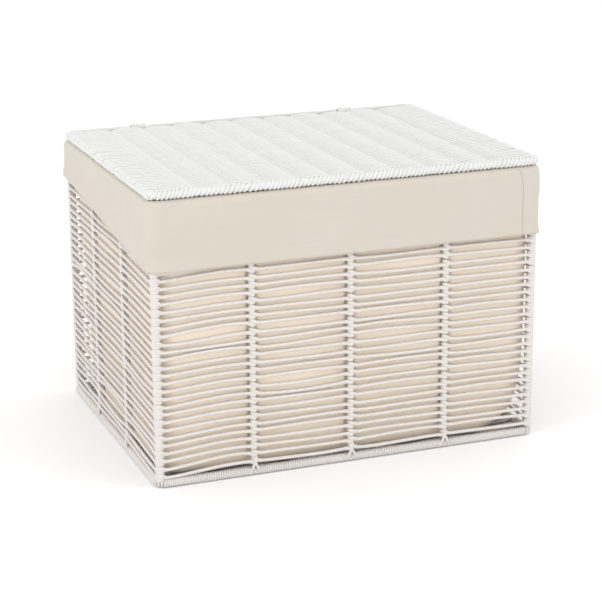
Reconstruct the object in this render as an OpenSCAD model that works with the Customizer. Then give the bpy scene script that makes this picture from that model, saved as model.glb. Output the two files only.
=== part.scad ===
// Wicker storage trunk: a wire frame woven with paper cord, a cloth liner folded over
// the rim, and a woven lid that turns on two cord bindings at the back.
// Millimetres, +Z up. The origin is on the floor, under the middle of the basket.
// The front is the long side at -Y, and the hinge runs along the back rim at +Y.

/* [Trunk] */
// Outside width of the basket, along X
basket_w = 500; // [460:10:560]
// Outside depth of the basket, along Y
basket_d = 390; // [350:10:430]
// Height of the closed trunk, up to the top face of the lid
trunk_h = 360; // [300:10:420]

/* [Wire frame] */
// Diameter of the heavy wire in the rings, corner posts and lid frame
ring_wire_d = 5; // [4.5:0.1:5]
// Diameter of the thin wire in the stakes, base rods and lid ribs
thin_wire_d = 3; // [2.6:0.1:3]
// Bending radius of the rings, at the middle of the wire
corner_r = 8; // [8:1:12]

/* [Cord] */
// Outside width of a wire once cord is wound round it
wound_d = 10; // [9.6:0.2:10]
// Outside width of the wound border of the lid and of the wound base ring
border_d = 11; // [10.6:0.2:11]
// Thickness of the woven wall between two stakes
wall_t = 4; // [3:0.5:5]
// Thickness of the woven base and of the woven lid
mat_t = 8; // [6:0.5:8]

/* [Cloth liner] */
// Thickness of the cloth, doubled where it is hemmed
cloth_t = 1.8; // [1:0.1:1.8]
// How far the cuff hangs down over the front wall
cuff_front_h = 84; // [60:1:110]
// How far the cuff hangs down over the back wall
cuff_back_h = 46; // [40:1:84]
// How much narrower the bag is at its floor than at the rim, on each side
bag_taper = 8; // [6:1:24]

/* [Lid and bindings] */
// Distance from the back rim wire up to the rear wire of the lid
bar_gap = 13; // [13:0.5:16]
// Number of ribs that run from front to back in the lid
rib_count = 11; // [9:2:11]
// Width of one binding, along the wires
binding_w = 24; // [16:2:26]
// Thickness of the cord turns in a binding
binding_t = 4; // [3:0.5:4]
// Distance of each binding from the middle of the trunk
binding_x = 147; // [143:1:148]

/* [Hidden] */
$fn = 48;

// Colours: white paper cord and paint, undyed cotton
cord_white = [0.93, 0.92, 0.90];
paint_white = [0.90, 0.90, 0.89];
cotton = [0.87, 0.82, 0.74];

// Play between a wire and the cord wound round it, and between cloth and cord
play = 0.1;
cloth_play = 0.2;
// Play between a woven mat and the wound ring round it
mat_play = 0.3;
// Play between pieces that turn against each other
turn_play = 0.3;

ring_r = ring_wire_d / 2;
thin_r = thin_wire_d / 2;
wound_r = wound_d / 2;
border_r = border_d / 2;

// The line that the rings, stakes and lid frame share, seen from above
line_x = basket_w / 2 - border_r;
line_y = basket_d / 2 - border_r;
run_x = 2 * (line_x - corner_r);
run_y = 2 * (line_y - corner_r);
// Corner posts stand under the middle of each bend
post_inset = corner_r * (1 - cos(45));
post_x = line_x - post_inset;
post_y = line_y - post_inset;
// Stakes split the long sides in four bays and the short sides in three
long_pitch = basket_w / 4;
short_pitch = basket_d / 3;

// Heights of the wires
base_z = border_r;
lid_z = trunk_h - border_r;
rim_z = lid_z - bar_gap;
wall_z0 = 2 * base_z;
wall_z1 = rim_z - ring_r - binding_t - 1;
mat_z0 = base_z - mat_t / 2;
mat_z1 = base_z + mat_t / 2;

// The cloth goes round the wound rim as a half ring
cloth_in_r = wound_r + cloth_play;
cloth_out_r = cloth_in_r + cloth_t;
cuff_top_z = rim_z + cloth_out_r;

// The bag: outside half sizes at the rim and at its floor
bag_top_x = line_x - cloth_in_r;
bag_top_y = line_y - cloth_in_r;
bag_z0 = mat_z1 + cloth_play;
bag_floor_x = bag_top_x - bag_taper;
bag_floor_y = bag_top_y - bag_taper;

// Each binding goes round both wires like a belt
belt_in_r = ring_r + turn_play;
belt_out_r = belt_in_r + binding_t;
slot_w = binding_w + 2;
slot_r = belt_out_r + 0.6;

rib_pitch = basket_w / (rib_count + 1);
// Longer than any piece, for cuts that go right through
through = 2 * basket_w;

// ---------- shared shapes ----------

// A section swept along one long side and round its two corners. The section's +X
// points out of the trunk and its +Y points up; its origin is on the frame line.
module long_run(back = false) {
    mirror([0, back ? 1 : 0, 0]) {
        translate([-run_x / 2, -line_y, 0])
            rotate([90, 0, 90])
                linear_extrude(run_x) mirror([1, 0]) children();
        for (side = [-1, 1])
            translate([side * run_x / 2, -run_y / 2, 0])
                rotate([0, 0, side < 0 ? 180 : 270])
                    rotate_extrude(angle = 90) translate([corner_r, 0]) children();
    }
}

// The same section along one short side, between the corners
module short_run(left = false) {
    mirror([left ? 1 : 0, 0, 0])
        translate([line_x, run_y / 2, 0])
            rotate([90, 0, 0]) linear_extrude(run_y) children();
}

module wire_ring(z) {
    long_run() translate([0, z]) circle(ring_r);
    long_run(back = true) translate([0, z]) circle(ring_r);
    short_run() translate([0, z]) circle(ring_r);
    short_run(left = true) translate([0, z]) circle(ring_r);
}

module upright(x, y, r, z0, z1) {
    translate([x, y, z0]) cylinder(r = r, h = z1 - z0);
}

// A box from its lowest to its highest corner
module block(low, high) {
    translate(low) cube(high - low);
}

module stake(x, y) {
    color(paint_white) upright(x, y, thin_r, base_z + ring_r, rim_z - ring_r);
}

module post(side_x, side_y) {
    color(paint_white)
        upright(side_x * post_x, side_y * post_y, ring_r, base_z + ring_r, rim_z - ring_r);
}

// All stakes and posts, a little thicker, as holes through the cord wound on the rings
module upright_holes() {
    for (i = [-1 : 1], side = [-1, 1])
        upright(i * long_pitch, side * line_y, thin_r + play, base_z, rim_z);
    for (i = [-1, 1], side = [-1, 1])
        upright(side * line_x, i * short_pitch / 2, thin_r + play, base_z, rim_z);
    for (sx = [-1, 1], sy = [-1, 1])
        upright(sx * post_x, sy * post_y, ring_r + play, base_z, rim_z);
}

module crosswise_rods(r) {
    for (i = [-1 : 1])
        translate([i * long_pitch, line_y - ring_r, base_z - thin_r])
            rotate([90, 0, 0]) cylinder(r = r, h = 2 * (line_y - ring_r));
}

module lengthwise_rods(r) {
    for (i = [-1, 1])
        translate([ring_r - line_x, i * short_pitch / 2, base_z + thin_r])
            rotate([0, 90, 0]) cylinder(r = r, h = 2 * (line_x - ring_r));
}

module ribs(r) {
    for (i = [1 : rib_count])
        translate([i * rib_pitch - basket_w / 2, line_y - ring_r, lid_z])
            rotate([90, 0, 0]) cylinder(r = r, h = 2 * (line_y - ring_r));
}

// Cuts that leave both wires bare where the bindings go round them
module binding_slots(z0, z1, y0, y1) {
    for (side = [-1, 1])
        block([side * binding_x - slot_w / 2, y0, z0], [side * binding_x + slot_w / 2, y1, z1]);
}

// ---------- wire frame ----------

module base_ring() { color(paint_white) wire_ring(base_z); }

module rim_ring() { color(paint_white) wire_ring(rim_z); }

module stake_long(i, side) { stake((i - 2) * long_pitch, side * line_y); }

module stake_short(i, side) { stake(side * line_x, (i - 1.5) * short_pitch); }

module base_rods_crosswise() { color(paint_white) crosswise_rods(thin_r); }

module base_rods_lengthwise() { color(paint_white) lengthwise_rods(thin_r); }

// ---------- woven cord ----------

// A woven mat as a plain plate, with corners round enough for the ring's bends
module mat_block(half_x, half_y, z) {
    translate([0, 0, z]) linear_extrude(mat_t)
        offset(r = corner_r / 2) offset(delta = -corner_r / 2)
            square([2 * half_x, 2 * half_y], center = true);
}

module base_weave() {
    half_x = line_x - border_r - mat_play;
    half_y = line_y - border_r - mat_play;
    color(cord_white) difference() {
        mat_block(half_x, half_y, mat_z0);
        crosswise_rods(thin_r + play);
        lengthwise_rods(thin_r + play);
    }
}

module base_wrap_section() {
    difference() {
        translate([0, base_z]) square(border_d, center = true);
        translate([0, base_z]) circle(ring_r + play);
    }
}

// Cord wound round the base ring, pressed flat where the trunk stands on it
module base_wrap() {
    color(cord_white) difference() {
        children();
        upright_holes();
        crosswise_rods(thin_r + play);
        lengthwise_rods(thin_r + play);
    }
}

module rim_wrap_section() {
    translate([0, rim_z]) difference() {
        circle(wound_r);
        circle(ring_r + play);
    }
}

// Cord wound round the rim ring
module rim_wrap() {
    color(cord_white) difference() {
        children();
        upright_holes();
    }
}

module rim_wrap_back() {
    rim_wrap() difference() {
        long_run(back = true) rim_wrap_section();
        binding_slots(0, trunk_h, 0, basket_d);
    }
}

module wound_upright(x, y, r) {
    difference() {
        upright(x, y, wound_r, wall_z0, rim_z - wound_r);
        upright(x, y, r + play, base_z, rim_z);
    }
}

// Rows of cord between two uprights, as one plain panel
module bay_long(x0, x1) {
    block([x0 + wound_r, -line_y - wound_r, wall_z0],
          [x1 - wound_r, -line_y - wound_r + wall_t, wall_z1]);
}

module bay_short(y0, y1) {
    block([line_x + wound_r - wall_t, y0 + wound_r, wall_z0],
          [line_x + wound_r, y1 - wound_r, wall_z1]);
}

// A long wall: four bays, three wound stakes and two wound corner posts
module weave_long(back = false) {
    edges = [-post_x, -long_pitch, 0, long_pitch, post_x];
    color(cord_white) mirror([0, back ? 1 : 0, 0]) {
        for (i = [0 : 3]) bay_long(edges[i], edges[i + 1]);
        for (i = [1 : 3]) wound_upright(edges[i], -line_y, thin_r);
        for (side = [-1, 1]) wound_upright(side * post_x, -post_y, ring_r);
    }
}

// A short wall: three bays and two wound stakes
module weave_short(left = false) {
    edges = [-post_y, -short_pitch / 2, short_pitch / 2, post_y];
    color(cord_white) mirror([left ? 1 : 0, 0, 0]) {
        for (i = [0 : 2]) bay_short(edges[i], edges[i + 1]);
        for (i = [1 : 2]) wound_upright(line_x, edges[i], thin_r);
    }
}

// ---------- cloth liner ----------

// Outline of one sloping wall of the bag, from its floor to the rim. It is drawn with
// +X out of the trunk.
module bag_wall_section(top, floor_half) {
    polygon([[floor_half, bag_z0], [top, rim_z], [top - cloth_t, rim_z], [floor_half - cloth_t, bag_z0]]);
}

// The space inside one pair of opposite walls, as a long trapezoid prism along X or Y
module bag_prism_x(inset) {
    rotate([90, 0, 90]) linear_extrude(through, center = true)
        polygon([[inset - bag_floor_y, bag_z0], [bag_floor_y - inset, bag_z0],
                 [bag_top_y - inset, rim_z], [inset - bag_top_y, rim_z]]);
}

module bag_prism_y(inset) {
    rotate([90, 0, 0]) linear_extrude(through, center = true)
        polygon([[inset - bag_floor_x, bag_z0], [bag_floor_x - inset, bag_z0],
                 [bag_top_x - inset, rim_z], [inset - bag_top_x, rim_z]]);
}

// The bag tucks in round the wound corner posts
module post_room() {
    for (sx = [-1, 1], sy = [-1, 1])
        upright(sx * post_x, sy * post_y, wound_r + cloth_play, 0, trunk_h);
}

module liner_long(back = false) {
    color(cotton) difference() {
        mirror([0, back ? 1 : 0, 0]) intersection() {
            rotate([90, 0, 90]) linear_extrude(through, center = true)
                mirror([1, 0]) bag_wall_section(bag_top_y, bag_floor_y);
            bag_prism_y(0);
        }
        post_room();
        if (back) binding_slots(rim_z - slot_r, trunk_h, 0, basket_d);
    }
}

module liner_short(left = false) {
    color(cotton) difference() {
        mirror([left ? 1 : 0, 0, 0]) intersection() {
            rotate([90, 0, 0]) linear_extrude(through, center = true)
                bag_wall_section(bag_top_x, bag_floor_x);
            bag_prism_x(cloth_t);
        }
        post_room();
    }
}

module liner_bottom() {
    half_x = bag_floor_x - cloth_t;
    half_y = bag_floor_y - cloth_t;
    color(cotton) block([-half_x, -half_y, bag_z0], [half_x, half_y, bag_z0 + cloth_t]);
}

// The cuff: over the wound rim as a half ring, then down outside the wall
module cuff_section(drop) {
    translate([0, rim_z]) {
        difference() {
            circle(cloth_out_r);
            circle(cloth_in_r);
            translate([-through / 2, -through]) square([through, through]);
        }
        translate([cloth_in_r, cloth_out_r - drop]) square([cloth_t, drop - cloth_out_r]);
    }
}

module cuff_front() { color(cotton) long_run() cuff_section(cuff_front_h); }

module cuff_back() {
    color(cotton) difference() {
        long_run(back = true) cuff_section(cuff_back_h);
        binding_slots(rim_z - slot_r, trunk_h, 0, basket_d);
    }
}

// The lower edge of a side cuff rises from the front drop to the back drop
module cuff_short(left = false) {
    low = cuff_top_z - cuff_front_h;
    high = cuff_top_z - cuff_back_h;
    color(cotton) difference() {
        short_run(left) cuff_section(cuff_front_h);
        rotate([90, 0, 90]) linear_extrude(through, center = true)
            polygon([[-run_y / 2, low], [run_y / 2, high], [run_y, high], [run_y, 0],
                     [-run_y, 0], [-run_y, low]]);
    }
}

// ---------- lid ----------

module lid_frame() { color(paint_white) wire_ring(lid_z); }

module lid_ribs() { color(paint_white) ribs(thin_r); }

module lid_weave() {
    half_x = line_x - border_r - mat_play;
    half_y = line_y - border_r - mat_play;
    color(cord_white) difference() {
        mat_block(half_x, half_y, lid_z - mat_t / 2);
        ribs(thin_r + play);
        binding_slots(0, through, line_y - slot_r, basket_d);
    }
}

module lid_border_section() {
    translate([0, lid_z]) difference() {
        circle(border_r);
        circle(ring_r + play);
    }
}

// Cord wound round the lid frame, open where a rib or a binding meets the wire
module lid_border() {
    color(cord_white) difference() {
        children();
        ribs(thin_r + play);
        binding_slots(0, through, line_y - basket_d / 4, basket_d);
    }
}

// ---------- hinge bindings ----------

// The outline of a belt round both wires: y across and z up, centred on the rim wire
module belt(r) {
    circle(r);
    translate([0, bar_gap]) circle(r);
    translate([-r, 0]) square([2 * r, bar_gap]);
}

module hinge_binding(side) {
    color(cord_white)
        translate([side * binding_x - binding_w / 2, line_y, rim_z])
            rotate([90, 0, 90]) linear_extrude(binding_w)
                difference() {
                    belt(belt_out_r);
                    belt(belt_in_r);
                }
}

// ---------- assembly ----------

base_ring();
rim_ring();
post(-1, -1);  // corner_post_front_left
post(1, -1);  // corner_post_front_right
post(-1, 1);  // corner_post_back_left
post(1, 1);  // corner_post_back_right
stake_long(1, -1);  // stake_front_1
stake_long(2, -1);  // stake_front_2
stake_long(3, -1);  // stake_front_3
stake_long(1, 1);  // stake_back_1
stake_long(2, 1);  // stake_back_2
stake_long(3, 1);  // stake_back_3
stake_short(1, -1);  // stake_left_1
stake_short(2, -1);  // stake_left_2
stake_short(1, 1);  // stake_right_1
stake_short(2, 1);  // stake_right_2
base_rods_crosswise();
base_rods_lengthwise();
base_weave();
base_wrap() long_run() base_wrap_section();  // base_wrap_front
base_wrap() long_run(back = true) base_wrap_section();  // base_wrap_back
base_wrap() short_run(left = true) base_wrap_section();  // base_wrap_left
base_wrap() short_run() base_wrap_section();  // base_wrap_right
rim_wrap() long_run() rim_wrap_section();  // rim_wrap_front
rim_wrap_back();
rim_wrap() short_run(left = true) rim_wrap_section();  // rim_wrap_left
rim_wrap() short_run() rim_wrap_section();  // rim_wrap_right
weave_long();  // weave_front
weave_long(back = true);  // weave_back
weave_short(left = true);  // weave_left
weave_short();  // weave_right
liner_long();  // liner_front
liner_long(back = true);  // liner_back
liner_short(left = true);  // liner_left
liner_short();  // liner_right
liner_bottom();
cuff_front();
cuff_back();
cuff_short(left = true);  // cuff_left
cuff_short();  // cuff_right
lid_frame();
lid_ribs();
lid_weave();
lid_border() long_run() lid_border_section();  // lid_border_front
lid_border() long_run(back = true) lid_border_section();  // lid_border_back
lid_border() short_run(left = true) lid_border_section();  // lid_border_left
lid_border() short_run() lid_border_section();  // lid_border_right
hinge_binding(-1);  // hinge_binding_left
hinge_binding(1);  // hinge_binding_right
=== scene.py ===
# %% [markdown]
# # A wicker storage trunk
# The trunk is a basket of white paper cord, woven on a wire frame, with a cotton bag
# hung inside it and a woven lid tied on at the back. The frame, its sizes and its
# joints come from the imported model. This script makes what a weaver and a seamstress
# would add: the cord, turn by turn, and the cloth.

# %% The frame
import math

import bpy
import numpy as np
from mathutils import Matrix, Vector, noise


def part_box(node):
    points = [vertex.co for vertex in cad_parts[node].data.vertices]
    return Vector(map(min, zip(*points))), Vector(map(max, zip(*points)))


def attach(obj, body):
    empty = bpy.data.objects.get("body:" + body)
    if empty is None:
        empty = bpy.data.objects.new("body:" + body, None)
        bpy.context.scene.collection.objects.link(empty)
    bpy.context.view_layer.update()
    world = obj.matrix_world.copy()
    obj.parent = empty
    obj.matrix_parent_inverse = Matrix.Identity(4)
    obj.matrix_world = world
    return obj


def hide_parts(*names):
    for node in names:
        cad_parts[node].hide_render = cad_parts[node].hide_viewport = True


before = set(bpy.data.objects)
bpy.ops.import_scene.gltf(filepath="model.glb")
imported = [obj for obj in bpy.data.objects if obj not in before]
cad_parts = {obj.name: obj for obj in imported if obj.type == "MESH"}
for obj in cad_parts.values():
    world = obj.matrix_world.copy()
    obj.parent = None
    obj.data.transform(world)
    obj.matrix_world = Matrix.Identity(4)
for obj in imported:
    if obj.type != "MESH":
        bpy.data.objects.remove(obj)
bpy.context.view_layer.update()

rng = np.random.default_rng(7)
MM = 0.001


def middle(node):
    low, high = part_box(node)
    return (low + high) / 2


def half_size(node):
    low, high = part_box(node)
    return (high - low) / 2


def ease(t):
    """From 0 to 1 with a soft start and a soft end."""
    return t * t * (3 - 2 * t)


# %% [markdown]
# ## Sizes read from the frame
# Every wire of the frame lies on one line, seen from above: a rectangle with round
# corners. The cord is wound on that line, so its half width and half depth, the bend
# radius, and the heights of the three rings are all that the weaving needs.

# %% Lines of the frame
ring_r = half_size("base_ring").z
thin_r = half_size("stake_front_1").x
line_x = half_size("base_ring").x - ring_r
line_y = half_size("base_ring").y - ring_r
base_z = middle("base_ring").z
rim_z = middle("rim_ring").z
lid_z = middle("lid_frame").z
post = middle("corner_post_back_right")
corner_r = (line_x - post.x) / (1 - math.cos(math.radians(45)))
run_x, run_y = 2 * (line_x - corner_r), 2 * (line_y - corner_r)
print(f"ring line {line_x * 2000:.0f} by {line_y * 2000:.0f} mm, bend {corner_r * 1000:.0f} mm")
print(f"heights: base {base_z:.4f}, rim {rim_z:.4f}, lid {lid_z:.4f}")

# %% [markdown]
# ## The camera
# A long lens, a little above the trunk and to the left of its front, so that the front,
# the left side and the lid all show.

# %% Camera
CAMERA_AT = Vector((-0.8280, -2.2080, 0.8518))
CAMERA_YAW = 0.3622
CAMERA_PITCH = 0.2887
CAMERA_ROLL = -0.0079
CAMERA_LENS = 113.7
ahead = Vector((math.sin(CAMERA_YAW) * math.cos(CAMERA_PITCH),
                math.cos(CAMERA_YAW) * math.cos(CAMERA_PITCH), -math.sin(CAMERA_PITCH)))
right = Vector((math.cos(CAMERA_YAW), -math.sin(CAMERA_YAW), 0))
above = right.cross(ahead)
across = right * math.cos(CAMERA_ROLL) + above * math.sin(CAMERA_ROLL)
upward = across.cross(ahead)
camera = bpy.data.objects.new("camera", bpy.data.cameras.new("camera"))
camera.data.lens = CAMERA_LENS
camera.data.sensor_width = 36
facing = Matrix((across, upward, -ahead)).transposed().to_4x4()
camera.matrix_world = Matrix.Translation(CAMERA_AT) @ facing
bpy.context.scene.collection.objects.link(camera)
bpy.context.scene.camera = camera
print("camera at", [round(c, 3) for c in CAMERA_AT])

# %% [markdown]
# ## Finishes
# Four finishes cover the whole trunk: paper cord, the same cord on the lid, cotton, and
# painted wire. Paper cord is a strip of kraft paper twisted tight, so it is matt, with
# fine slanting grooves from the twist. Each strand carries its own length and its turn
# round the strand in a UV map, so the grooves run along it wherever it goes.


# %% Helpers for the node trees
def new_finish(name):
    finish = bpy.data.materials.new(name)
    finish.use_nodes = True
    nodes, links = finish.node_tree.nodes, finish.node_tree.links
    return finish, nodes, links, nodes["Principled BSDF"]


def node(nodes, kind, label, **values):
    made = nodes.new(kind)
    made.label = label
    for key, value in values.items():
        if key in made.inputs:
            made.inputs[key].default_value = value
        else:
            setattr(made, key, value)
    return made


def math_node(nodes, links, operation, first, second=None, label=""):
    made = node(nodes, "ShaderNodeMath", label or operation.lower(), operation=operation)
    for socket, value in zip(made.inputs, (first, second)):
        if value is None:
            continue
        if hasattr(value, "is_linked"):
            links.new(value, socket)
        else:
            socket.default_value = value
    return made.outputs[0]


def colour_mix(nodes, links, factor, colour_a, colour_b, label):
    # a mix node lists A and B once for each kind of data, so the colour ones are picked
    made = node(nodes, "ShaderNodeMix", label, data_type="RGBA")
    sockets = [s for s in made.inputs if s.type == "RGBA"]
    links.new(factor, made.inputs[0])
    for socket, colour in zip(sockets, (colour_a, colour_b)):
        if hasattr(colour, "is_linked"):
            links.new(colour, socket)
        else:
            socket.default_value = (*colour, 1)
    return [s for s in made.outputs if s.type == "RGBA"][0]


# %% Paper cord
def paper_cord(name, light, shade, lay=11 * MM, depth=0.16):
    """Twisted paper: slanting grooves that follow the strand, painted darker in their hollows as painted
    shade, and fine fibres.
    """
    finish, nodes, links, shader = new_finish(name)
    uv = node(nodes, "ShaderNodeUVMap", "along the strand", uv_map="UVMap")
    split = node(nodes, "ShaderNodeSeparateXYZ", "turn and length")
    links.new(uv.outputs[0], split.inputs[0])
    turn = math_node(nodes, links, "MULTIPLY", split.outputs[0], 4 * math.pi, "two strips")
    along = math_node(nodes, links, "MULTIPLY", split.outputs[1], 2 * math.pi / lay, "lay")
    phase = math_node(nodes, links, "ADD", turn, along)
    groove = math_node(nodes, links, "SINE", phase, label="groove")
    place = node(nodes, "ShaderNodeTexCoord", "place")
    fibres = node(nodes, "ShaderNodeTexNoise", "fibres", Scale=1400.0, Detail=3.0)
    patches = node(nodes, "ShaderNodeTexNoise", "patches", Scale=38.0, Detail=2.0)
    links.new(place.outputs["Object"], fibres.inputs["Vector"])
    links.new(place.outputs["Object"], patches.inputs["Vector"])
    fine = math_node(nodes, links, "MULTIPLY", fibres.outputs[0], 0.7)
    height = math_node(nodes, links, "MULTIPLY_ADD", groove, 0.5, "height")
    height.node.inputs[2].default_value = 0.5
    relief = math_node(nodes, links, "ADD", height, fine, "relief")
    bump = node(nodes, "ShaderNodeBump", "relief", Strength=depth, Distance=0.35 * MM)
    links.new(relief, bump.inputs["Height"])
    links.new(bump.outputs[0], shader.inputs["Normal"])
    # the colour is darker in the grooves of the twist, which is painted shade; the patches vary it at
    # random, as the paper itself does
    tone = math_node(nodes, links, "MULTIPLY", height, patches.outputs[0], "tone")
    tone = math_node(nodes, links, "ADD", tone, 0.35, "lighter")
    tone.node.use_clamp = True
    links.new(colour_mix(nodes, links, tone, shade, light, "cord colour"), shader.inputs["Base Color"])
    rough = math_node(nodes, links, "MULTIPLY_ADD", fibres.outputs[0], 0.25, "roughness")
    rough.node.inputs[2].default_value = 0.58
    links.new(rough, shader.inputs["Roughness"])
    shader.inputs["Specular IOR Level"].default_value = 0.3
    return finish


# each cord has a light colour and a shade colour; the shade colour is painted shade for the hollows of the
# twist
wall_finish = paper_cord("wall_cord", (0.70, 0.665, 0.64), (0.645, 0.605, 0.575))
lid_finish = paper_cord("lid_cord", (0.74, 0.74, 0.735), (0.67, 0.67, 0.665))
binding_finish = paper_cord("binding_cord", (0.72, 0.715, 0.70), (0.58, 0.57, 0.55))
print("cord finishes:", wall_finish.name, lid_finish.name, binding_finish.name)


# %% Cotton
def cotton(name, light, shade, thread=0.9 * MM):
    """Plain-woven calico: threads both ways, with a few thicker threads running level."""
    finish, nodes, links, shader = new_finish(name)
    uv = node(nodes, "ShaderNodeUVMap", "cloth, in metres", uv_map="UVMap")
    split = node(nodes, "ShaderNodeSeparateXYZ", "warp and weft")
    links.new(uv.outputs[0], split.inputs[0])
    threads = []
    for socket, label in ((split.outputs[0], "warp"), (split.outputs[1], "weft")):
        phase = math_node(nodes, links, "MULTIPLY", socket, 2 * math.pi / thread, label)
        threads.append(math_node(nodes, links, "SINE", phase, label=label))
    weave = math_node(nodes, links, "MULTIPLY", threads[0], threads[1], "weave")
    stretch = node(nodes, "ShaderNodeMapping", "level threads", Scale=(9.0, 420.0, 1.0))
    links.new(uv.outputs[0], stretch.inputs["Vector"])
    slubs = node(nodes, "ShaderNodeTexNoise", "slubs", Scale=1.0, Detail=3.0, Roughness=0.6)
    links.new(stretch.outputs[0], slubs.inputs["Vector"])
    place = node(nodes, "ShaderNodeTexCoord", "place")
    cloudy = node(nodes, "ShaderNodeTexNoise", "cloudy", Scale=14.0, Detail=2.0)
    links.new(place.outputs["Object"], cloudy.inputs["Vector"])
    relief = math_node(nodes, links, "MULTIPLY_ADD", weave, 0.4, "relief")
    links.new(slubs.outputs[0], relief.node.inputs[2])
    bump = node(nodes, "ShaderNodeBump", "threads", Strength=0.35, Distance=0.3 * MM)
    links.new(relief, bump.inputs["Height"])
    links.new(bump.outputs[0], shader.inputs["Normal"])
    tone = math_node(nodes, links, "ADD", slubs.outputs[0], cloudy.outputs[0], "tone")
    tone = math_node(nodes, links, "MULTIPLY", tone, 0.5, "even tone")
    links.new(colour_mix(nodes, links, tone, shade, light, "cotton colour"), shader.inputs["Base Color"])
    shader.inputs["Roughness"].default_value = 0.92
    shader.inputs["Specular IOR Level"].default_value = 0.2
    shader.inputs["Sheen Weight"].default_value = 0.15
    shader.inputs["Sheen Roughness"].default_value = 0.6
    return finish


# The bag is the same cotton as the cuff. Its finish is painted lighter and warmer: painted light for the
# shade it lies in behind the cords.
cuff_finish = cotton("cuff_cotton", (0.61, 0.565, 0.495), (0.555, 0.505, 0.435))
bag_painted_light_finish = cotton("bag_cotton_painted_light", (0.865, 0.76, 0.64), (0.80, 0.69, 0.565))
print("cloth finishes:", cuff_finish.name, bag_painted_light_finish.name)


# %% Painted wire
def painted_wire(name, colour):
    finish, nodes, links, shader = new_finish(name)
    place = node(nodes, "ShaderNodeTexCoord", "place")
    orange_peel = node(nodes, "ShaderNodeTexNoise", "orange peel", Scale=900.0, Detail=2.0)
    links.new(place.outputs["Object"], orange_peel.inputs["Vector"])
    bump = node(nodes, "ShaderNodeBump", "paint", Strength=0.15, Distance=0.1 * MM)
    links.new(orange_peel.outputs[0], bump.inputs["Height"])
    links.new(bump.outputs[0], shader.inputs["Normal"])
    worn = tuple(0.9 * c for c in colour)
    mixed = colour_mix(nodes, links, orange_peel.outputs[0], worn, colour, "paint colour")
    links.new(mixed, shader.inputs["Base Color"])
    rough = math_node(nodes, links, "MULTIPLY_ADD", orange_peel.outputs[0], 0.2, "roughness")
    rough.node.inputs[2].default_value = 0.3
    links.new(rough, shader.inputs["Roughness"])
    return finish


wire_finish = painted_wire("painted_wire", (0.84, 0.84, 0.82))
WIRES = [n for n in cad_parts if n.startswith(("stake_", "corner_post_", "base_rods_"))]
WIRES += ["base_ring", "rim_ring", "lid_frame", "lid_ribs"]
for name in WIRES:
    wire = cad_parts[name]
    for place in wire.material_slots:
        place.material = wire_finish
print("painted wires:", len(WIRES))

# %% [markdown]
# ## How a strand is made
# A strand of cord is a round section swept along a line. The sweep is written out here
# because the trunk holds more than a hundred metres of cord: one call makes all the
# strands of a wall as one mesh, each closed at both ends, with the turn round the strand
# and the length along it as its UV map.


# %% Sweep
def path_length(points):
    """How far along the line each point lies."""
    return np.concatenate([[0], np.cumsum(np.linalg.norm(np.diff(points, axis=0), axis=1))])


def sweep(name, lines, radius, finish, sides=8):
    """One mesh of strands. Each line is (points, side, press): side is a direction that
    the strand never runs along, one for the whole line or one for each point, and press
    is how far the strand is pressed flat, 0 for round."""
    verts, faces, uvs, first = [], [], [], 0
    angle = np.arange(sides) * 2 * math.pi / sides
    for points, side, press in lines:
        points = np.asarray(points, float)
        press = np.broadcast_to(press, len(points))[:, None, None]
        along = np.gradient(points, axis=0)
        along /= np.linalg.norm(along, axis=1)[:, None]
        out = np.cross(np.broadcast_to(side, points.shape), along)
        out /= np.linalg.norm(out, axis=1)[:, None]
        other = np.cross(along, out)
        ring = np.cos(angle)[None, :, None] * out[:, None] * (1 - press)
        ring = ring + np.sin(angle)[None, :, None] * other[:, None] * (1 + press)
        verts.append((points[:, None] + radius * ring).reshape(-1, 3))
        count = len(points)
        length = path_length(points)
        i, k = np.meshgrid(np.arange(count - 1), np.arange(sides), indexing="ij")
        after = (k + 1) % sides
        here, beyond = first + i * sides, first + (i + 1) * sides
        faces.append(np.stack([here + k, here + after, beyond + after, beyond + k], -1).reshape(-1, 4))
        u0, u1 = k / sides, (k + 1) / sides
        v0, v1 = length[i], length[i + 1]
        uvs.append(np.stack([u0, v0, u1, v0, u1, v1, u0, v1], -1).reshape(-1, 2))
        first += count * sides
    # each strand is closed by one flat face at either end
    ends, start = [], 0
    for points, side, press in lines:
        count = len(points)
        ends.append(list(range(start + sides - 1, start - 1, -1)))
        ends.append(list(range(start + (count - 1) * sides, start + count * sides)))
        start += count * sides
    quads = np.concatenate(faces)
    mesh = bpy.data.meshes.new(name)
    mesh.from_pydata(np.concatenate(verts).tolist(), [], quads.tolist() + ends)
    layer = mesh.uv_layers.new(name="UVMap")
    flat = np.zeros((len(mesh.loops), 2), np.float32)
    flat[: len(quads) * 4] = np.concatenate(uvs)
    layer.data.foreach_set("uv", flat.ravel())
    smooth = np.ones(len(mesh.polygons), bool)
    smooth[len(quads):] = False
    mesh.polygons.foreach_set("use_smooth", smooth)
    mesh.materials.append(finish)
    made = bpy.data.objects.new(name, mesh)
    bpy.context.scene.collection.objects.link(made)
    triangles = 2 * len(quads) + len(ends) * (sides - 2)
    print(f"{name}: {len(lines)} strands, {triangles} triangles")
    return made


# %% [markdown]
# ## Going round the trunk
# The rings are wound with cord all the way round, and the cuff follows the same line. One
# function gives the place, the direction and the outward direction at any distance round
# the ring. It starts in the middle of the back, between the two bindings.


# %% The ring line
BEND_LENGTH = corner_r * math.pi / 2
# distances at which the four bends start: back left, front left, front right, back right
BEND_STARTS = [run_x / 2 + n * BEND_LENGTH + gone for n, gone in
               enumerate((0, run_y, run_y + run_x, 2 * run_y + run_x))]


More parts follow.
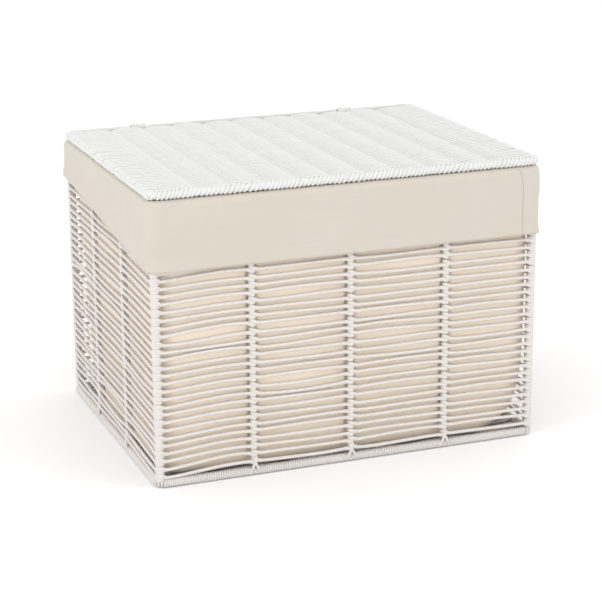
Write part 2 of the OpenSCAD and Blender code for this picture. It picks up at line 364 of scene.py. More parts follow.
def ring_line(distance):
    """Arrays of place, direction and outward direction on the ring line, flat in z."""
    half_x, half_y = run_x / 2, run_y / 2
    west, south, north = math.pi, 1.5 * math.pi, math.pi / 2
    runs = [("line", (0, line_y), west, half_x), ("bend", (-half_x, half_y), north, BEND_LENGTH),
            ("line", (-line_x, half_y), south, run_y), ("bend", (-half_x, -half_y), west, BEND_LENGTH),
            ("line", (-half_x, -line_y), 0, run_x), ("bend", (half_x, -half_y), south, BEND_LENGTH),
            ("line", (line_x, -half_y), north, run_y), ("bend", (half_x, half_y), 0, BEND_LENGTH),
            ("line", (half_x, line_y), west, half_x)]
    distance = np.mod(np.asarray(distance, float), sum(r[3] for r in runs))
    place = np.zeros((*distance.shape, 3))
    heading = np.zeros(distance.shape)
    start = 0.0
    for kind, at, turn, length in runs:
        here = (distance >= start - 1e-12) & (distance <= start + length)
        gone = distance[here] - start
        if kind == "line":
            place[here, 0] = at[0] + gone * math.cos(turn)
            place[here, 1] = at[1] + gone * math.sin(turn)
            heading[here] = turn
        else:
            angle = turn + gone / corner_r
            place[here, 0] = at[0] + corner_r * np.cos(angle)
            place[here, 1] = at[1] + corner_r * np.sin(angle)
            heading[here] = angle + math.pi / 2
        start += length
    direction = np.stack([np.cos(heading), np.sin(heading), 0 * heading], -1)
    outward = np.stack([np.sin(heading), -np.cos(heading), 0 * heading], -1)
    return place, direction, outward


ring_length = 2 * (run_x + run_y) + 2 * math.pi * corner_r
print(f"once round the ring: {ring_length:.3f} m")


# %% Cord wound on a ring
SLACK_WAVES = (161.0, 73.0)


def wind(start, end, height, wire_r, cord_r, pitch, steps=12, slack=0.0, lean=0.0, below=0.0):
    """A strand wound round the ring line from start to end. pitch is a function that
    gives the distance from one turn to the next at a place round the ring. lean makes
    the turns slant where they show, at the top outside. below is how far under the wire
    the strand may reach, where it is pressed flat by what it lies on."""
    places, turns, at = [], [], start
    turn = 2 * math.pi * np.arange(steps) / steps
    while at < end:
        step = min(pitch(at), end - at + 1e-9)
        places.append(at + step / (2 * math.pi) * (turn + lean * np.sin(turn - math.pi / 4)))
        turns.append(turn)
        at += step
    places, turns = np.clip(np.concatenate(places), start, end), np.concatenate(turns)
    loose = 1 + slack * np.sin(places * SLACK_WAVES[0]) * np.sin(places * SLACK_WAVES[1])
    place, direction, outward = ring_line(places)
    reach = (wire_r + cord_r) * loose[:, None]
    upward = np.array((0.0, 0.0, 1.0))
    points = place + reach * (np.cos(turns)[:, None] * outward + np.sin(turns)[:, None] * upward)
    if below:
        points[:, 2] = np.maximum(points[:, 2], -below)
    points[:, 2] += height
    return points, direction, 0.0


# %% [markdown]
# ## The woven walls
# Each row is one cord that runs level round the basket. At every stake it crosses in
# front, goes once round the wire and crosses in front again, a cord's width higher, so
# each stake ends up as a column of knots. At a corner it goes round the post in the same
# way and a quarter turn further, on to the next wall. Rows wander a little, as hand-laid
# rows do, and dip towards the front left corner. Straight rails would look like a fence.

# %% Sizes of the weave
CORD_R = 2.15 * MM
PRESSED = 0.24
ROW_PITCH = 9.55 * MM
FIRST_ROW = 18.2 * MM
STAKE_TURN, POST_TURN = 360, 810
STAKE_RISE, POST_RISE = ROW_PITCH / 2, ROW_PITCH * 2 / 3
KNOT_HUMP = 1.9 * MM


def uprights(names, facing):
    """For each upright: its centre x and y, then the radius of the cord's path round it,
    the facing angle, the turn and the rise."""
    made = []
    for name in names:
        centre, corner = middle(name), name.startswith("corner")
        reach = (ring_r if corner else thin_r) + CORD_R * (1 - PRESSED)
        turn, rise = (POST_TURN, POST_RISE) if corner else (STAKE_TURN, STAKE_RISE)
        made.append((centre.x, centre.y, reach, facing, turn, rise))
    return made


# Cords run anticlockwise seen from above. Facing is the outward angle of the wall that
# the cord arrives on.
WALLS = {
    "front": (-90, ["stake_front_1", "stake_front_2", "stake_front_3"]),
    "right": (0, ["stake_right_1", "stake_right_2"]),
    "back": (90, ["stake_back_3", "stake_back_2", "stake_back_1"]),
    "left": (180, ["stake_left_2", "stake_left_1"]),
}
CORNER_AFTER = {"front": "corner_post_front_right", "right": "corner_post_back_right",
                "back": "corner_post_back_left", "left": "corner_post_front_left"}
row_count = int((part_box("weave_front")[1].z - 4 * MM - FIRST_ROW) / ROW_PITCH) + 1
print("rows:", row_count)


# %% The shape of one row
# how low the rows sit at each corner, in mm
CORNER_LOW = {"corner_post_front_left": 5.4, "corner_post_front_right": 1.2,
              "corner_post_back_left": 1.8, "corner_post_back_right": 1.0}
# where the points of a span lie, closer together near the knots
SPAN_STEPS = np.array([0.022, 0.045, 0.08, 0.15, 0.26, 0.38, 0.5, 0.62, 0.74, 0.85, 0.92, 0.955, 0.978])


def knot(upright, height, steps_per_turn=16):
    """The turn round one upright, from where the cord meets it to where it leaves."""
    x, y, reach, facing, turn, climb = upright
    steps = int(steps_per_turn * turn / 360) + 1
    part = np.linspace(0, 1, steps)
    angle = np.radians(facing + turn * part)
    rise = climb * (part - 0.5) + (KNOT_HUMP * np.sin(math.pi * part ** 2) if turn == STAKE_TURN else 0)
    return np.stack([x + reach * np.cos(angle), y + reach * np.sin(angle), height + rise], -1)


def span(start, end, height_a, height_b, bow, dent, facing, dip_start=0.0, dip_end=0.0):
    """The cord between two knots: level, with a slight bow and a slight dent inwards."""
    t = SPAN_STEPS
    points = start + (end - start) * t[:, None]
    level = height_a + (height_b - height_a) * ease(t)
    settle = ease(np.clip(np.minimum(t, 1 - t) / 0.055, 0, 1))
    points[:, 2] = points[:, 2] * (1 - settle) + level * settle
    points[:, 2] += bow * 4 * t * (1 - t)
    points[:, 2] += dip_start * (1 - t) ** 3 * t * 9 + dip_end * t ** 3 * (1 - t) * 9
    inward = -np.array([math.cos(math.radians(facing)), math.sin(math.radians(facing))])
    points[:, :2] += inward * (dent * np.sin(math.pi * t) ** 0.5)[:, None]
    return points


def corner_drop(name, height):
    """How far a row sits low at a corner. The front left corner was woven the loosest."""
    return CORNER_LOW[name] * MM * (1 - 0.55 * height / rim_z)


# %% One row
BOW, WIDE_BOW, WIDE_SHARE = 0.8 * MM, 1.5 * MM, 0.16
LOOSE_BELOW = 120 * MM


def row(wall, base_height, knots):
    """The part of a row that belongs to one wall. knots holds its height at each upright."""
    facing, stakes = WALLS[wall]
    order = list(WALLS)
    before = CORNER_AFTER[order[order.index(wall) - 1]]
    after = CORNER_AFTER[wall]
    chain = [before, *stakes, after]
    posts = uprights([before], facing - 90) + uprights(stakes, facing) + uprights([after], facing)
    turns = [knot(p, knots[n]) for p, n in zip(posts, chain)]
    owns_corners = wall in ("front", "back")
    line = [turns[0]] if owns_corners else [turns[0][-1:]]
    for i in range(len(chain) - 1):
        bow = rng.normal(0, BOW)
        if rng.random() < WIDE_SHARE:
            bow += rng.choice([-1, 1]) * WIDE_BOW
        low = max(0.0, 1 - base_height / LOOSE_BELOW)
        sway_a, sway_b = rng.normal(0, 0.4 + 0.7 * low, 2) * MM
        if wall == "front" and i == 0:
            bow += 2.0 * MM * (1 - 0.4 * base_height / rim_z)
        dent = (0.5 + 0.5 * rng.random()) * MM
        height_a, height_b = knots[chain[i]], knots[chain[i + 1]]
        line.append(span(turns[i][-1], turns[i + 1][0], height_a, height_b,
                         bow, dent, facing, sway_a, sway_b))
        last = i == len(chain) - 2
        line.append(turns[i + 1] if not last or owns_corners else turns[i + 1][:1])
    points = np.concatenate(line)
    # the cord is pulled flat where it goes round an upright, and is round in between
    centres = np.array([(p[0], p[1]) for p in posts])
    gaps = np.linalg.norm(points[:, None, :2] - centres[None], axis=2).min(1)
    press = PRESSED * np.clip(1 - (gaps - 5.5 * MM) / (3.5 * MM), 0, 1)
    return points, (0, 0, 1), press


print(f"bow of a row: about {BOW * 1000:.1f} mm, and in {WIDE_SHARE:.0%} of the bays more")

# %% Weave the four walls
KNOT_UNEVEN, CORNER_UNEVEN = 0.65, 0.35
rows = {wall: [] for wall in WALLS}
for index in range(row_count):
    height = FIRST_ROW + index * ROW_PITCH
    heights = {}
    for wall, (facing, stakes) in WALLS.items():
        for name in stakes:
            heights[name] = height + rng.normal(0, KNOT_UNEVEN) * MM
        corner = CORNER_AFTER[wall]
        heights[corner] = height - corner_drop(corner, height) + rng.normal(0, CORNER_UNEVEN) * MM
    for wall in WALLS:
        rows[wall].append(row(wall, height, heights))
for wall in WALLS:
    made = sweep(f"woven_wall_{wall}", rows[wall], CORD_R, wall_finish)
    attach(made, "basket")
    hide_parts(f"weave_{wall}")

# %% [markdown]
# ## The feet of the stakes
# Where a stake meets the base ring, one cord ties the two together. It comes down from
# the column of knots, crosses itself on the ring and tucks in below, which leaves a small
# spread foot. The knot itself is hidden, so two mirrored legs are enough.


# %% Stake feet
# one leg of a foot: along the wall, out from the stake, and height, in mm
LEG = np.array([(-2.0, 4.0, 24.0), (-1.2, 5.2, 20.5), (0.6, 6.2, 15.5), (2.6, 6.9, 11.5),
                (4.4, 6.4, 8.0), (5.6, 5.6, 5.0), (6.3, 4.4, 2.9), (6.6, 2.0, 2.3)]) * MM
LEG_OUT = 0.75
FOOT_CORD_R = 1.7 * MM


def foot(name, facing, lean):
    """One leg of the foot under a stake. It leans to one side, and its twin to the other."""
    centre = middle(name)
    out = np.array([math.cos(math.radians(facing)), math.sin(math.radians(facing))])
    along = np.array([-out[1], out[0]]) * lean
    place = np.array([centre.x, centre.y]) + LEG[:, :1] * along + LEG[:, 1:2] * out * LEG_OUT
    return np.column_stack([place, LEG[:, 2]]), np.append(along * lean, 0.2), 0.0


feet = []
for wall, (facing, stakes) in WALLS.items():
    for name in stakes:
        feet += [foot(name, facing, 1), foot(name, facing, -1)]
stake_feet = sweep("stake_feet", feet, FOOT_CORD_R, wall_finish)
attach(stake_feet, "basket")

# %% [markdown]
# ## Wound rings
# The base ring and the rim ring are wound with thinner cord, turn against turn. The floor
# rubs the base ring, so its turns are kept tight. A striped bump on a thick ring would
# look painted from the side, so one strand is wound round the wire as a spiral.

# %% Base ring and rim ring
RING_CORD_R = (middle("base_wrap_front").z - ring_r) / 2
slot_half = half_size("hinge_binding_left").x + 1 * MM
binding_gap = [abs(middle("hinge_binding_left").x) + side * slot_half for side in (-1, 1)]
# the rim is bare under the two bindings, so its cord is wound in three lengths
RIM_RUNS = [(0, binding_gap[0]), (binding_gap[1], ring_length - binding_gap[1]),
             (ring_length - binding_gap[0], ring_length)]


def tight_pitch(at):
    return (2.9 + 0.2 * math.sin(at * 47.0) * math.sin(at * 13.0)) * MM


base_line = [wind(0, ring_length, base_z, ring_r, RING_CORD_R, tight_pitch)]
base_wrap = sweep("base_ring_cord", base_line, RING_CORD_R, wall_finish, sides=7)
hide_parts("base_wrap_front", "base_wrap_back", "base_wrap_left", "base_wrap_right")
rim_cord_r = half_size("rim_wrap_front").z / 2 - ring_r / 2
rim_lines = [wind(a, b, rim_z, ring_r, rim_cord_r, tight_pitch, steps=8) for a, b in RIM_RUNS]
rim_wrap = sweep("rim_ring_cord", rim_lines, rim_cord_r, wall_finish, sides=5)
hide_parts("rim_wrap_front", "rim_wrap_back", "rim_wrap_left", "rim_wrap_right")
for made in (base_wrap, rim_wrap):
    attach(made, "basket")

# %% [markdown]
# ## The base mat
# Under the bag the base is woven too: rows of thinner cord that run the long way, over and
# under the three crosswise rods in turn. It could be one bumped board, but light falls
# through the gaps at the bottom of the walls, so the rows are real and only coarser.

# %% Base mat
BASE_CORD_R = 1.5 * MM
BASE_ROWS = 60
mat_low, mat_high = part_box("base_weave")
rod_x = [middle("stake_front_1").x, 0.0, middle("stake_front_3").x]
mat_ys = np.linspace(mat_low.y + 3 * MM, mat_high.y - 3 * MM, BASE_ROWS)


def mat_row(y, parity):
    """One row of the base, a gentle wave over and under the crosswise rods."""
    x = np.linspace(mat_low.x + BASE_CORD_R, mat_high.x - BASE_CORD_R, 49)
    wave = np.cos(math.pi * x / rod_x[2]) * (1 if parity else -1)
    z = mat_low.z + 2.8 * MM + wave * 2.7 * MM
    return np.stack([x, np.full_like(x, y), z], -1), (0, 1, 0), 0.0


# the two lengthwise rods lie level with the rows, so no row is laid on their lines
rod_y = middle("stake_right_1").y
clear_of_rods = [abs(abs(y) - abs(rod_y)) > 3.2 * MM for y in mat_ys]
mat_rows = [mat_row(y, i % 2) for i, y in enumerate(mat_ys) if clear_of_rods[i]]
base_mat = sweep("base_mat", mat_rows, BASE_CORD_R, wall_finish, sides=7)
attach(base_mat, "basket")
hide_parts("base_weave")

# %% [markdown]
# ## The lid mat
# The lid is woven closely: cords run the long way, over one rib and under the next, and
# the cord beside each one does the opposite. That plain weave shows as short strokes in
# brick order, with a soft ridge where the mat rises over each rib. A bump on a board could
# draw the strokes, but its edge would be straight, so every row is a strand of its own.

# %% Lid mat
LID_CORD_R = 2.05 * MM
LID_PITCH = 4.05 * MM
LID_PRESS = 0.14
BUNCH = 44 * MM
ribs_low, ribs_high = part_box("lid_ribs")
RIB_SPACING = (ribs_high.x - ribs_low.x - 2 * thin_r) / 10
belt_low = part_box("hinge_binding_left")[0]
mat_half_x = line_x - ring_r - 0.5 * MM
mat_front = -(line_y - ring_r - LID_CORD_R - 0.5 * MM)
mat_back = belt_low.y - LID_CORD_R
lid_ys = np.arange(mat_front, mat_back, LID_PITCH)
over = thin_r + LID_CORD_R
MAT_BELOW = half_size("lid_border_left").z - LID_CORD_R
print(f"lid mat: {len(lid_ys)} rows, {LID_PITCH * 1000:.2f} mm apart")


def row_end(side, end_y, from_above):
    """A row from above goes right round the side wire; one from below stops at its outside."""
    way = 1 if from_above else -1
    turn = np.linspace(0, math.pi * (1 if from_above else 0.62), 8)
    reach = (ring_r + LID_CORD_R * (1 - LID_PRESS)) * rng.uniform(0.88, 1.03)
    hook_x = side * (line_x - rng.uniform(0, 0.9) * MM + reach * np.sin(turn))
    xs = np.concatenate([[side * (line_x - 5 * MM)], hook_x])
    zs = np.concatenate([[way * reach * 0.93], way * reach * np.cos(turn)])
    return np.stack([xs, np.full(len(xs), end_y), zs], -1)


def lid_row(y, parity):
    """One row, from its turn round the left wire of the frame to the one on the right."""
    x = np.linspace(-mat_half_x, mat_half_x, 73)
    wave = np.cos(math.pi * (x - ribs_low.x - thin_r) / RIB_SPACING) * (1 if parity else -1)
    wave = np.sign(wave) * np.abs(wave) ** 0.7
    slow = np.array([noise.noise(Vector((a * 9, y * 40, 3.0))) for a in x])
    lift = np.array([noise.noise(Vector((a * 30, y * 300, 9.0))) for a in x])
    z = wave * over * (0.92 + 0.1 * lift)
    middle_part = np.stack([x, y + 0.8 * MM * slow, z], -1)[4:-4]
    # rows are laid in bunches, so their ends leave a small gap every so often
    bunch = (math.floor(y / BUNCH) + 0.5) * BUNCH
    end_y = bunch + (y - bunch) * 0.95
    left_end = row_end(-1, end_y, middle_part[0][2] > 0)
    right_end = row_end(1, end_y, middle_part[-1][2] > 0)
    line = np.concatenate([left_end[::-1], middle_part, right_end])
    line[:, 2] = np.maximum(line[:, 2], -MAT_BELOW) + lid_z
    return line, (0, 1, 0), LID_PRESS


lid_mat = sweep("lid_mat", [lid_row(y, i % 2) for i, y in enumerate(lid_ys)], LID_CORD_R, lid_finish)
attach(lid_mat, "lid")
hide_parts("lid_weave", "lid_border_left", "lid_border_right")

# %% [markdown]
# ## The lid border
# The rows themselves turn round the side wires of the lid. Along the front and the back,
# where they run beside the frame, the wire is bound in with cord. Along the front its turns
# are hand-laid: they slant, and they bunch up and open out along the edge. An even spiral
# would look like a spring, so the pitch drifts there. Along the back a thinner cord is wound
# at an even pitch and slants less. The wire is bare at the back where the two hinge bindings go round it.

# %% Lid border
FRONT_CORD_R, BACK_CORD_R = 1.65 * MM, 1.35 * MM
border_half = half_size("lid_border_front").z
past_corner = corner_r * math.pi / 2 + 3 * MM
front_start = ring_length / 2 - run_x / 2 - past_corner
front_end = ring_length / 2 + run_x / 2 + past_corner
back_end = run_x / 2 + past_corner + 3 * MM
BACK_RUNS = [(0, binding_gap[0]), (binding_gap[1], back_end),
             (ring_length - back_end, ring_length - binding_gap[1]),
             (ring_length - binding_gap[0], ring_length)]


def loose_pitch(at):
    group = math.sin(at * 71.0) * math.sin(at * 26.0 + 1.0)
    return (5.7 + 0.9 * group + 0.5 * math.sin(at * 311.0)) * MM


def even_pitch(at):
    return 3.0 * MM


# two cords lie side by side; the second one lies a little deeper
front_below, back_below = border_half - FRONT_CORD_R, border_half - BACK_CORD_R
first_cord = wind(front_start, front_end, lid_z, ring_r, FRONT_CORD_R, loose_pitch,
                  slack=0.13, lean=2.2, below=front_below)
second_cord = wind(front_start + 2.8 * MM, front_end, lid_z, ring_r - 1.3 * MM, FRONT_CORD_R, loose_pitch,
                   slack=0.1, lean=1.9, below=front_below)
back_cords = [wind(a, b, lid_z, ring_r, BACK_CORD_R, even_pitch, slack=0.05, lean=1.0, below=back_below)
              for a, b in BACK_RUNS]
lid_border = sweep("lid_border_front_cord", [first_cord, second_cord], FRONT_CORD_R, lid_finish)
lid_back = sweep("lid_border_back_cord", back_cords, BACK_CORD_R, lid_finish, sides=6)
for made, node_name in ((lid_border, "lid_border_front"), (lid_back, "lid_border_back")):
    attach(made, "lid")
    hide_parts(node_name)

# %% [markdown]
# ## The hinge bindings
# The lid has no metal hinge. Six turns of cord go round the rim wire and the rear wire of
# the lid together, like a belt round two pulleys, and both wires can turn inside it. Six
# copies of a loop would leave six loose rings, so one strand moves on by its own width at
# each turn.

# %% Hinge bindings
BELT_TURNS = 6


def belt(node_name):
    """The line of one binding, turn beside turn, and the radius of its cord."""
    low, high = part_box(node_name)
    cord_r = (high.x - low.x) / BELT_TURNS / 2
    reach = (high.y - low.y) / 2 - cord_r
    y, z0, z1 = (low.y + high.y) / 2, low.z + reach + cord_r, high.z - reach - cord_r
    corner = np.linspace(0, math.pi, 11)
    straight = np.linspace(0, 1, 4)[1:-1]
    loop = [(y + reach * math.cos(a), z1 + reach * math.sin(a)) for a in corner]
    loop += [(y - reach, z1 + (z0 - z1) * t) for t in straight]
    loop += [(y - reach * math.cos(a), z0 - reach * math.sin(a)) for a in corner]
    loop += [(y + reach, z0 + (z1 - z0) * t) for t in straight]
    loop = np.array(loop)
    points = []
    for turn in range(BELT_TURNS):
        for i, (py, pz) in enumerate(loop):
            t = turn + i / len(loop)
            x = low.x + cord_r + (high.x - low.x - 2 * cord_r) * t / BELT_TURNS
            points.append((x, py, pz))
    return np.array(points), cord_r


for side_name in ("left", "right"):
    points, cord_r = belt(f"hinge_binding_{side_name}")
    made = sweep(f"binding_turns_{side_name}", [(points, (1, 0, 0), 0.0)], cord_r, binding_finish)
    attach(made, "bindings")
    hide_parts(f"hinge_binding_{side_name}")

# %% [markdown]
# ## The cotton bag
# The bag is sewn from one cross-shaped cut: the floor in the middle and a wall on each
# side. Hung from the rim it narrows downwards, its corners go round, and the slack cotton
# falls in soft folds. A cloth simulation could hang it, but it is held by the knots on
# every side, so it is lofted in rings from the rim to the floor instead. Then the floor is
# filled in, and one Solidify gives the cloth its thickness.


# %% Rounded rectangles for the cloth
def round_rectangle(half_x, half_y, bends, count_long, count_short, count_bend):
    """Points round a rectangle with round corners, anticlockwise from the front left.
    bends are the radii of the front left, front right, back right and back left corner."""
    signs = ((-1, -1), (1, -1), (1, 1), (-1, 1))
    centres = [(sx * (half_x - bend), sy * (half_y - bend)) for (sx, sy), bend in zip(signs, bends)]
    points, outward = [], []
    for k, ((cx, cy), bend) in enumerate(zip(centres, bends)):
        start = 180 + 90 * k
        for j in range(count_bend):
            a = math.radians(start + 90 * j / count_bend)
            points.append((cx + bend * math.cos(a), cy + bend * math.sin(a)))
            outward.append((math.cos(a), math.sin(a)))
        a = math.radians(start + 90)
        (nx, ny), after = centres[(k + 1) % 4], bends[(k + 1) % 4]
        count = count_long if k % 2 == 0 else count_short
        x0, y0 = cx + bend * math.cos(a), cy + bend * math.sin(a)
        x1, y1 = nx + after * math.cos(a), ny + after * math.sin(a)
        for j in range(count):
            points.append((x0 + (x1 - x0) * j / count, y0 + (y1 - y0) * j / count))
            outward.append((math.cos(a), math.sin(a)))
    return np.array(points), np.array(outward)


def cloth_object(name, verts, faces, uvs, finish, inner_finish, thick):
    """A cloth from its points and faces, with UVs in metres, thickened by Solidify. The
    inner side may be another finish: the bag's outer side, seen between the cords, is the same cotton
    painted lighter and warmer, as painted light."""
    mesh = bpy.data.meshes.new(name)
    mesh.from_pydata([tuple(v) for v in verts], [], [tuple(f) for f in faces])
    layer = mesh.uv_layers.new(name="UVMap")
    for polygon in mesh.polygons:
        for loop_index, uv in zip(polygon.loop_indices, uvs[polygon.index]):
            layer.data[loop_index].uv = uv
    mesh.polygons.foreach_set("use_smooth", np.ones(len(mesh.polygons), bool))
    mesh.materials.append(finish)
    mesh.materials.append(inner_finish)
    made = bpy.data.objects.new(name, mesh)
    bpy.context.scene.collection.objects.link(made)
    bpy.ops.object.select_all(action="DESELECT")
    bpy.context.view_layer.objects.active = made
    made.select_set(True)
    thicken = made.modifiers.new("cloth thickness", "SOLIDIFY")
    thicken.thickness = thick
    thicken.offset = 0
    thicken.material_offset = 1
    thicken.use_even_offset = False
    bpy.ops.object.modifier_apply(modifier=thicken.name)
    print(f"{name}: {len(made.data.polygons)} faces")
    return made


# %% Sizes of the bag
CLOTH = 1.5 * MM
bag_low, bag_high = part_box("liner_bottom")
wall_top_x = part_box("liner_right")[1].x
wall_top_y = -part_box("liner_front")[0].y
bag_top = rim_z - 9 * MM
bag_top_x, bag_top_y = wall_top_x - 1.2 * MM, wall_top_y - 1.2 * MM
bag_floor_x, bag_floor_y = bag_high.x + 3.5 * MM, bag_high.y + 3.5 * MM
bag_floor_z = bag_low.z + CLOTH / 2 + 0.3 * MM
FLOOR_BEND = 4.5 * MM
stake_xs = [middle(n).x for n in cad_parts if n.startswith("stake_front")]
stake_ys = [middle(n).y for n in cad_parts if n.startswith("stake_right")]
print(f"bag at the top: {bag_top_x * 2000:.0f} by {bag_top_y * 2000:.0f} mm")
print(f"bag at the floor: {bag_floor_x * 2000:.0f} by {bag_floor_y * 2000:.0f} mm")

# %% One ring of the bag
BAG_RINGS = 46
BAY_SWELL = 5.3 * MM
# the knots of a stake hold the cloth in over this half width, and it comes out over this edge
HELD_WIDTH, HELD_EDGE = 3.5 * MM, 4.5 * MM


def bag_bends(part):
    """Radii of the corners. The back left corner hangs slackest, then the front right."""
    loose = 1 - part
    return (20 * MM + 3 * MM * loose ** 3, 20 * MM + 46 * MM * loose ** 8,
            21 * MM + 40 * MM * loose ** 2, 34 * MM + 66 * MM * loose)


def free_of_stakes(x, y, long_side):
    """0 where a stake holds the cloth in, and 1 in the open part of a bay."""
    gap = min(abs(x - c) for c in stake_xs) if long_side else min(abs(y - c) for c in stake_ys)
    return ease(min(max(gap - HELD_WIDTH, 0) / HELD_EDGE, 1))


def bag_ring(part):
    """One ring of the bag: part is 0 at the floor's edge and 1 at the top."""
    tuck = (1 - part) ** 9
    half_x = bag_top_x - (bag_top_x - bag_floor_x) * tuck
    half_y = bag_top_y - (bag_top_y - bag_floor_y) * tuck
    points, outward = round_rectangle(half_x, half_y, bag_bends(part), 150, 114, 12)
    height = bag_floor_z + FLOOR_BEND + (bag_top - bag_floor_z - FLOOR_BEND) * part
    rise = ease(min((1 - part) / 0.09, 1)) * min(part / 0.03, 1)
    out = []
    for (x, y), (nx, ny) in zip(points, outward):
        falls = noise.noise(Vector((x * 11, y * 11, height * 3.0)))
        folds = noise.noise(Vector((x * 34, y * 34, height * 5.0 + 7)))
        swell = (0.2 + 0.8 * free_of_stakes(x, y, abs(ny) > abs(nx))) * rise
        push = swell * (BAY_SWELL + (falls - 0.4) * 1.0 * MM)
        push += folds * 0.5 * MM * min(1 - part, 0.3) - 0.3 * MM
        lift = 1.0 * MM * folds * math.sin(math.pi * part)
        out.append((x + nx * push, y + ny * push, height + lift))
    return out


# %% Points of the bag
rings = [bag_ring(part) for part in np.linspace(1, 0, BAG_RINGS)]
around = len(rings[0])
wall_foot = rings[-1]
# the cloth bends from the wall to the floor over three rings
for inset, drop in ((1.3, 0.72), (3.9, 0.94), (9.0, 1.0)):
    edge = 1 - inset * MM / bag_floor_y
    height = bag_floor_z + FLOOR_BEND * (1 - drop)
    rings.append([(x * edge, y * edge, height) for x, y, z in wall_foot])
floor_edge = rings[-1]
for part in np.linspace(0.86, 0.08, 9):
    floor_ring = []
    for x, y, z in floor_edge:
        crease = abs(noise.noise(Vector((x * part * 30, y * part * 30, 0))))
        floor_ring.append((x * part, y * part, bag_floor_z + 0.5 * MM * crease))
    rings.append(floor_ring)
verts = [p for ring in rings for p in ring]
centre = len(verts)
verts.append((0, 0, bag_floor_z))
print(f"bag: {len(rings)} rings of {around} points")

# %% Faces of the bag
girth = path_length(np.array(rings[0] + rings[0][:1])[:, :2])
depth = [0.0]
for one, two in zip(rings, rings[1:]):
    depth.append(depth[-1] + (Vector(one[0]) - Vector(two[0])).length)
faces, uvs = [], []
for r in range(len(rings) - 1):
    for k in range(around):
        k2 = (k + 1) % around
        faces.append((r * around + k, (r + 1) * around + k, (r + 1) * around + k2, r * around + k2))
        u0, u1, v0, v1 = girth[k], girth[k + 1], -depth[r], -depth[r + 1]
        uvs.append(((u0, v0), (u0, v1), (u1, v1), (u1, v0)))
last = len(rings) - 1
for k in range(around):
    faces.append((last * around + k, centre, last * around + (k + 1) % around))
    uvs.append(((girth[k], -depth[last]), (girth[k], -depth[last] - 0.02), (girth[k + 1], -depth[last])))
# the bag's side seen between the cords has the painted-light finish, the other side the plain cuff cotton
bag = cloth_object("cotton_bag", verts, faces, uvs, bag_painted_light_finish, cuff_finish, CLOTH)
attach(bag, "basket")
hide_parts("liner_front", "liner_back", "liner_left", "liner_right", "liner_bottom")

# %% [markdown]
# ## The cuff
# The top of the bag folds outwards over the wound rim and hangs down outside the wall. It
# is deeper at the front than at the back, so its hem slopes along both sides. A cloth
# simulation could drape it, but it is held tight all round, so one profile swept along
# the ring line gives the same shape. Small folds and a soft buckle at each corner keep
# it from looking like sheet metal. Each binding needs a slot at the back, and the two
# ends of the strip meet in one seam near the right end of the front.

# %% Where the cuff lies
cuff_low, cuff_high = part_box("cuff_front")
OUT_R = cuff_high.z - rim_z - CLOTH / 2 + 0.3 * MM
IN_R = line_y - wall_top_y - 0.2 * MM
FRONT_HEM, BACK_HEM = cuff_low.z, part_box("cuff_back")[0].z
INNER_HEM = rim_z - 24 * MM
SEAM_AT = run_x / 2 + corner_r * math.pi + run_y + run_x - 12 * MM
slot_x = abs(middle("hinge_binding_left").x)
marks = [slot_x - slot_half, slot_x + slot_half]
marks += [ring_length - slot_x - slot_half, ring_length - slot_x + slot_half]
steps_round = list(np.arange(0, ring_length - 2 * MM, 3.6 * MM)) + marks
steps_round += [SEAM_AT + d * MM for d in np.arange(-9, 3.1, 0.6)]
for bend_at in BEND_STARTS:
    steps_round += list(np.linspace(bend_at, bend_at + BEND_LENGTH, 8))
steps_round = np.array(sorted(steps_round))
keep = np.concatenate([[True], np.diff(steps_round) > 0.3 * MM])
steps_round = steps_round[keep]
line_place, _, line_outward = ring_line(steps_round)
print("cuff: steps round the ring", len(steps_round))

# %% The cuff's profile
ARC_STEPS, DROP_STEPS, INNER_STEPS = 12, 26, 6


def cuff_hem(y):
    """Height of the hem: level along the front and the back, sloping along the sides."""
    part = min(max((y + line_y) / (2 * line_y), 0), 1)
    return FRONT_HEM + (BACK_HEM - FRONT_HEM) * part


def cuff_profile(hem):
    """The cuff's section as (outwards, height): up inside, over the rim, down outside."""
    inner = np.linspace(0, 1, INNER_STEPS, endpoint=False)
    profile = [(-IN_R, INNER_HEM + (rim_z - INNER_HEM) * t) for t in inner]
    for t in np.linspace(0, math.pi, ARC_STEPS):
        reach = IN_R + (OUT_R - IN_R) * t / math.pi
        profile.append((-reach * math.cos(t), rim_z + OUT_R * math.sin(t)))
    profile += [(OUT_R, rim_z + (hem - rim_z) * t) for t in np.linspace(0, 1, DROP_STEPS)[1:]]
    return profile


def from_hem(profile):
    """How far each point of the profile is from the outer hem, along the cloth."""
    run, before = 0.0, profile[-1]
    lengths = []
    for reach, height in reversed(profile):
        run += math.hypot(reach - before[0], height - before[1])
        before = (reach, height)
        lengths.append(run)
    return lengths[::-1]


per = len(cuff_profile(FRONT_HEM))
print("points in the cuff's profile:", per)

# %% Folds, seam and hem of the cuff
HEM_WIDTH = 11 * MM


def seam_step(distance, height):
    """The cloth on one side of the seam lies over the other, which leaves a thin step."""
    bent = SEAM_AT - 6.5 * MM * min(max(0.0, (height - rim_z + 17 * MM) / (24 * MM)), 1) ** 2
    gap = (distance - bent) / MM
    if abs(gap) > 60:
        return 0.0
    return -1.3 * math.exp(-(gap / 0.7) ** 2) + 0.35 / (1 + math.exp(-gap * 3)) * math.exp(-max(gap, 0) / 9)


def corner_buckle(at):
    """1 at the middle of a bend, and almost 0 a few centimetres from it."""
    nearest = min(abs(at - (start + BEND_LENGTH / 2)) for start in BEND_STARTS)
    return math.exp(-nearest / (16 * MM))


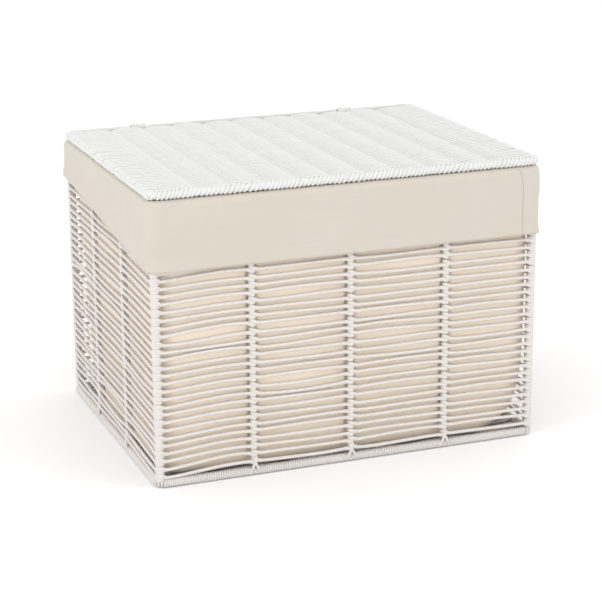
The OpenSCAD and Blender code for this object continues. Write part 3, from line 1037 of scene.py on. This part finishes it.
def cuff_point(base, outward, at, reach, height, length):
    """One point of the cuff, with how the cloth moves there out or in."""
    below = max(0.0, rim_z - height) if reach > 0 else 0.0
    loose = min(below / (40 * MM), 1)
    cling = noise.noise(Vector((base.x * 7, base.y * 7, height * 6)))
    fold = noise.noise(Vector((base.x * 26 + 5, base.y * 26, height * 9)))
    ripple = noise.noise(Vector((base.x * 60, base.y * 60 + 2, height * 24)))
    push = (0.7 + 1.5 * cling + 1.2 * fold + 0.35 * ripple) * loose
    push += corner_buckle(at) * loose * 1.8 * math.sin(height * 95 + base.x * 9)
    push += 0.25 * ripple
    if reach > 0:
        push = max(push, -0.1)
        push += seam_step(at, height)
        if length < HEM_WIDTH:
            push += 0.45
    out = base + outward * (reach + push * MM)
    return out.x, out.y, height + 0.5 * MM * fold * loose


cuff_verts, cuff_lengths = [], []
for at, place, outward in zip(steps_round, line_place, line_outward):
    base, outward = Vector(place), Vector(outward)
    profile = cuff_profile(cuff_hem(base.y))
    for (reach, height), length in zip(profile, from_hem(profile)):
        cuff_verts.append(cuff_point(base, outward, at, reach, height, length))
        cuff_lengths.append(length)
print("cuff points:", len(cuff_verts))

# %% The cuff's cloth
cuff_faces, cuff_uvs = [], []
count = len(steps_round)
for i in range(count):
    j = (i + 1) % count
    near, far = steps_round[i], ring_length if j == 0 else steps_round[j]
    in_slot = marks[0] < (near + far) / 2 < marks[1] or marks[2] < (near + far) / 2 < marks[3]
    for k in range(per - 1):
        a, b, c, d = i * per + k, i * per + k + 1, j * per + k + 1, j * per + k
        low_enough = max(cuff_verts[a][2], cuff_verts[b][2]) < rim_z - 8 * MM
        if in_slot and not low_enough:
            continue
        cuff_faces.append((a, b, c, d))
        cuff_uvs.append(((near, cuff_lengths[a]), (near, cuff_lengths[b]),
                         (far, cuff_lengths[c]), (far, cuff_lengths[d])))
# the cuff's underside takes the painted-light bag finish
cuff = cloth_object("cotton_cuff", cuff_verts, cuff_faces, cuff_uvs, cuff_finish, bag_painted_light_finish, CLOTH)
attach(cuff, "basket")
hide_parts("cuff_front", "cuff_back", "cuff_left", "cuff_right")

# %% [markdown]
# ## Floor and light
# A plain pale floor, a bright even surround and three wide soft lamps, as in a small studio.
# The key lamp stands to the right, so the trunk throws a faint shadow to its left. The
# front fill reaches between the cords, so the gaps stay the colour of the bag.

# %% Floor
bpy.ops.object.select_all(action="DESELECT")
bpy.ops.mesh.primitive_plane_add(size=40, location=(0, 8, 0))
floor = bpy.context.object
floor.name = "studio_floor"
floor_finish, nodes, links, shader = new_finish("studio_floor")
shader.inputs["Base Color"].default_value = (0.92, 0.92, 0.92, 1)
shader.inputs["Roughness"].default_value = 0.9
shader.inputs["Specular IOR Level"].default_value = 0.1
floor.data.materials.append(floor_finish)


# %% Lamps
def lamp(name, place, aim, size, power):
    made = bpy.data.objects.new(name, bpy.data.lights.new(name, "AREA"))
    made.data.shape = "SQUARE"
    made.data.size = size
    made.data.energy = power
    place = Vector(place)
    turned = (Vector(aim) - place).to_track_quat("-Z", "Y").to_matrix().to_4x4()
    made.matrix_world = Matrix.Translation(place) @ turned
    bpy.context.scene.collection.objects.link(made)
    return made


lamp("key", (2.2, -1.9, 2.6), (0, 0, 0.15), 1.8, 13)
lamp("side fill", (-2.6, -0.9, 2.2), (0, 0, 0.15), 1.6, 15)
lamp("front fill", (-1.5, -2.7, 0.8), (0, 0, 0.2), 1.6, 10)
surround = bpy.data.worlds.new("surround")
surround.use_nodes = True
surround.node_tree.nodes["Background"].inputs["Color"].default_value = (1, 1, 1, 1)
surround.node_tree.nodes["Background"].inputs["Strength"].default_value = 1.1
bpy.context.scene.world = surround
bpy.context.scene.view_settings.view_transform = "Standard"
print("lamps and surround are in place")
